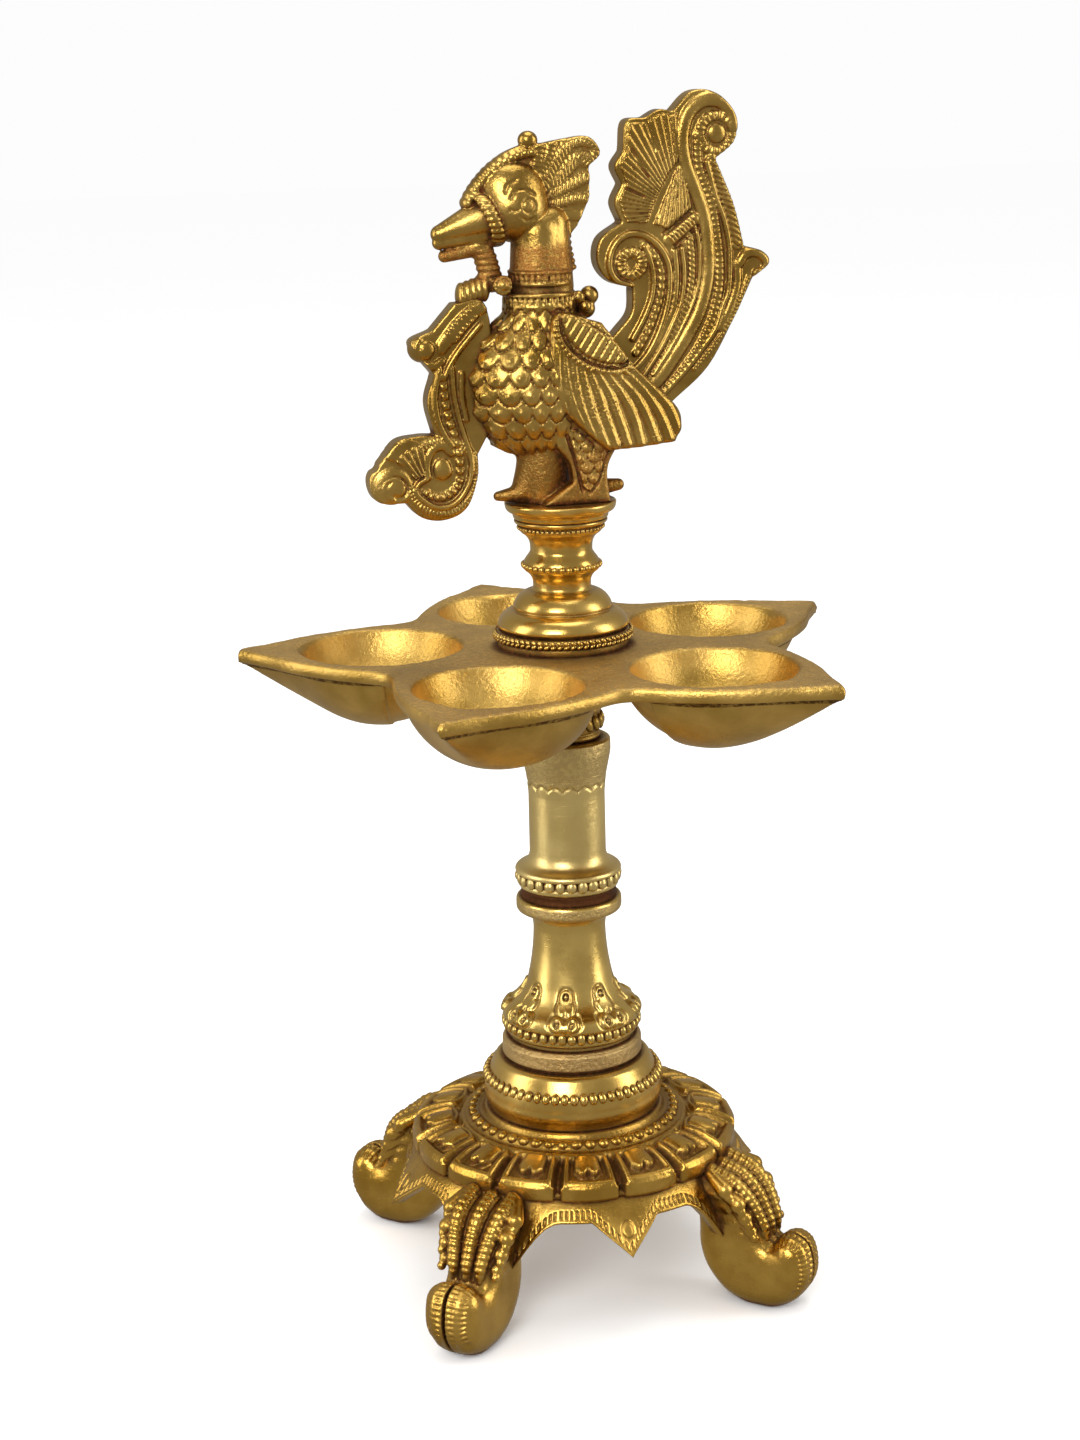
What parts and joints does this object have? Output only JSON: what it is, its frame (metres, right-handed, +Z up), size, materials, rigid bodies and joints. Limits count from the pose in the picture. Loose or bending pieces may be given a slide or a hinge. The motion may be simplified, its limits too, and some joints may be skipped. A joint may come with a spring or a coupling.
{
  "type": "standing oil lamp",
  "caption": "Standing oil lamp on curled feet with a lotus base, turned column, plate of pointed oil bowls, and a crested bird with an upright scrolled tail on top.",
  "frame": {"origin": "on the floor, on the lamp's axis, midway between the feet", "axes": "+Z up along the lamp's axis; the bird looks along -X; one bowl points along +Y"},
  "size_m": [0.1568, 0.1491, 0.3006],
  "materials": {
    "cast_brass": "satin casting with dark patina in the recesses",
    "turned_brass": "lathe polished",
    "rough_brass": "filed, matte",
    "steel_hardware": "plain steel"
  },
  "bodies": {
    "base": {"leg_frame": "cast_brass", "lotus_dish": "cast_brass", "base_dome": "turned_brass", "base_stud": "steel_hardware", "base_washer": "steel_hardware", "base_nut": "steel_hardware"},
    "spacer": {"spacer_ring": "rough_brass"},
    "lower": {"lower_column": "turned_brass", "column_stud": "steel_hardware"},
    "shim": {"column_shim": "rough_brass"},
    "upper": {"upper_column": "turned_brass"},
    "plate": {"lamp_plate": "cast_brass"},
    "ring": {"beaded_ring": "turned_brass"},
    "neck": {"neck_spindle": "turned_brass", "neck_stud": "steel_hardware"},
    "disc": {"finial_disc": "turned_brass"},
    "finial": {"peacock_body": "cast_brass", "peacock_tail": "cast_brass", "breast_scroll": "cast_brass", "finial_stud": "steel_hardware"}
  },
  "joints": [
    {"name": "lower_column_lift", "type": "slide", "parent": "base", "child": "spacer", "axis": [0, 0, 1], "range_m": [0, 0.0125]},
    {"name": "lower_column_turn", "type": "hinge", "parent": "spacer", "child": "lower", "pos_m": [0, 0, 0], "axis": [0, 0, 1], "range_deg": [0, 3600]},
    {"name": "upper_column_lift", "type": "slide", "parent": "lower", "child": "shim", "axis": [0, 0, 1], "range_m": [0, 0.0125]},
    {"name": "upper_column_turn", "type": "hinge", "parent": "shim", "child": "upper", "pos_m": [0, 0, 0], "axis": [0, 0, 1], "range_deg": [0, 3600]},
    {"name": "plate_turn", "type": "hinge", "parent": "upper", "child": "plate", "pos_m": [0, 0, 0], "axis": [0, 0, 1], "continuous": true},
    {"name": "neck_lift", "type": "slide", "parent": "upper", "child": "ring", "axis": [0, 0, 1], "range_m": [0, 0.0125]},
    {"name": "neck_turn", "type": "hinge", "parent": "ring", "child": "neck", "pos_m": [0, 0, 0], "axis": [0, 0, 1], "range_deg": [0, 3600]},
    {"name": "finial_lift", "type": "slide", "parent": "neck", "child": "disc", "axis": [0, 0, 1], "range_m": [0, 0.011]},
    {"name": "finial_turn", "type": "hinge", "parent": "disc", "child": "finial", "pos_m": [0, 0, 0], "axis": [0, 0, 1], "range_deg": [0, 3960]}
  ],
  "couplings": [
    {"joint": "lower_column_turn", "follows": "lower_column_lift", "rad_per_m": 5026.5},
    {"joint": "upper_column_turn", "follows": "upper_column_lift", "rad_per_m": 5026.5},
    {"joint": "neck_turn", "follows": "neck_lift", "rad_per_m": 5026.5},
    {"joint": "finial_turn", "follows": "finial_lift", "rad_per_m": 6283.1}
  ]
}
